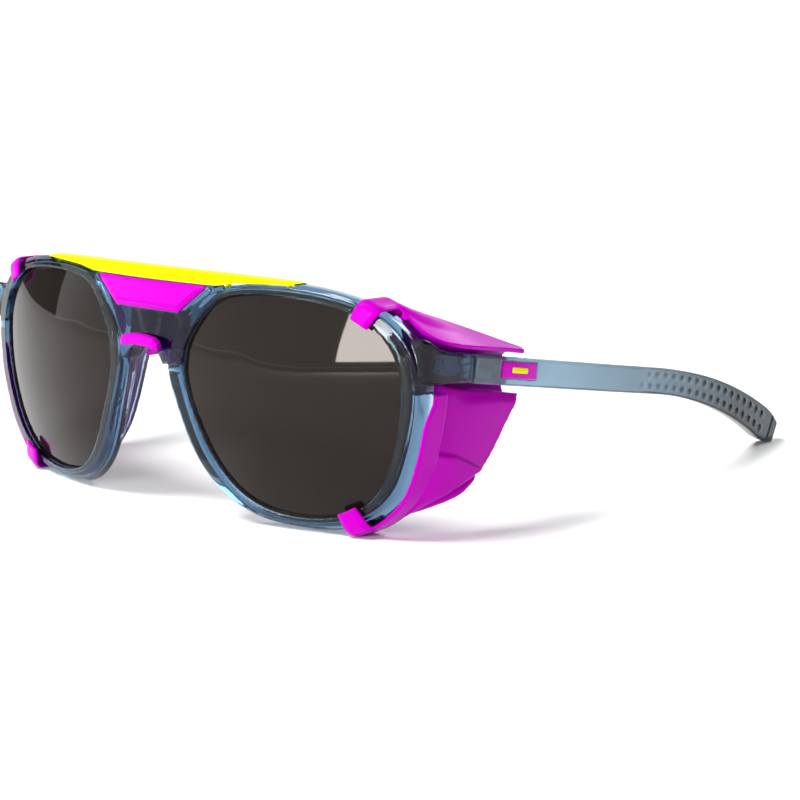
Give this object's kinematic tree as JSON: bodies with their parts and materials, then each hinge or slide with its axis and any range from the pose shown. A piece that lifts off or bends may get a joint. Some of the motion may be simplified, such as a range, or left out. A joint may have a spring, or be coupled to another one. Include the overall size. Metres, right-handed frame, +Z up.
{
  "type": "glacier glasses",
  "caption": "Mountain sunglasses: see-through front and folding temples, dark mirrored lenses, soft side shields that fold with the temples, a soft nose saddle and a coloured brow bar.",
  "frame": {"origin": "middle of the bounding box, on the floor the open glasses stand on", "axes": "+X is the wearer's left, the front faces -Y, the open temples run towards +Y, +Z up"},
  "size_m": [0.1436, 0.1652, 0.0543],
  "materials": {
    "smoke_blue_plastic": "see-through injected plastic, glossy",
    "yellow_plastic": "satin",
    "pink_soft_plastic": "soft satin elastomer",
    "pink_hard_plastic": "satin",
    "dark_lens": "dark tint with a silver mirror coat",
    "hinge_steel": "plain steel"
  },
  "bodies": {
    "front": {"front_frame": "smoke_blue_plastic", "brow_bar": "yellow_plastic", "bridge_insert": "pink_soft_plastic", "nose_saddle": "pink_soft_plastic", "lens_left": "dark_lens", "hinge_leaf_front_left": "hinge_steel", "shield_clip_left": "pink_soft_plastic", "lens_right": "dark_lens", "hinge_leaf_front_right": "hinge_steel", "shield_clip_right": "pink_soft_plastic"},
    "temple_left": {"temple_left": "smoke_blue_plastic", "hinge_leaf_temple_left": "hinge_steel", "hinge_screw_left": "hinge_steel", "badge_plate_left": "pink_hard_plastic", "badge_inlay_left": "yellow_plastic"},
    "temple_right": {"temple_right": "smoke_blue_plastic", "hinge_leaf_temple_right": "hinge_steel", "hinge_screw_right": "hinge_steel", "badge_plate_right": "pink_hard_plastic", "badge_inlay_right": "yellow_plastic"},
    "shield_left": {"shield_panel_left": "pink_soft_plastic"},
    "shield_right": {"shield_panel_right": "pink_soft_plastic"}
  },
  "joints": [
    {"name": "temple_fold_left", "type": "hinge", "parent": "front", "child": "temple_left", "pos_m": [0.066, -0.05087, 0.036], "axis": [0, 0, 1], "range_deg": [0, 84]},
    {"name": "temple_fold_right", "type": "hinge", "parent": "front", "child": "temple_right", "pos_m": [-0.066, -0.05087, 0.036], "axis": [0, 0, -1], "range_deg": [0, 77]},
    {"name": "shield_flex_left", "type": "hinge", "parent": "front", "child": "shield_left", "pos_m": [0.062, -0.05487, 0.036], "axis": [0, 0, 1], "range_deg": [0, 84]},
    {"name": "shield_flex_right", "type": "hinge", "parent": "front", "child": "shield_right", "pos_m": [-0.062, -0.05487, 0.036], "axis": [0, 0, -1], "range_deg": [0, 77]}
  ],
  "couplings": [
    {"joint": "shield_flex_left", "follows": "temple_fold_left", "ratio": 1},
    {"joint": "shield_flex_right", "follows": "temple_fold_right", "ratio": 1}
  ]
}
